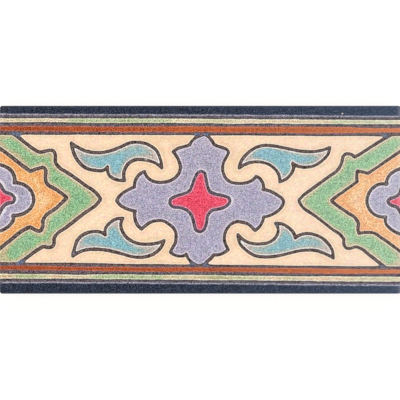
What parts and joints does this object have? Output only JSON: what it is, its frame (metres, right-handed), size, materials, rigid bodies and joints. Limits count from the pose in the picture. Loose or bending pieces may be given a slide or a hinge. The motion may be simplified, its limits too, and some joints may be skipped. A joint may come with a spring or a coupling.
{
  "type": "border tile",
  "caption": "Rectangular glazed ceramic border tile with a flat ornamented face, softly rounded face edges and a keyed back, bedded end to end as a trim band on a wall or floor.",
  "frame": {"origin": "middle of the back, on the plane that the tile is bedded on", "axes": "+X along the border's length, +Y across its width, +Z out of the glazed face"},
  "size_m": [0.1492, 0.0698, 0.0095],
  "materials": {
    "glazed_clay": "satin coloured glazes held apart by matt dark dry lines, on bare buff clay"
  },
  "bodies": {
    "root": {"border_tile": "glazed_clay"}
  },
  "joints": []
}
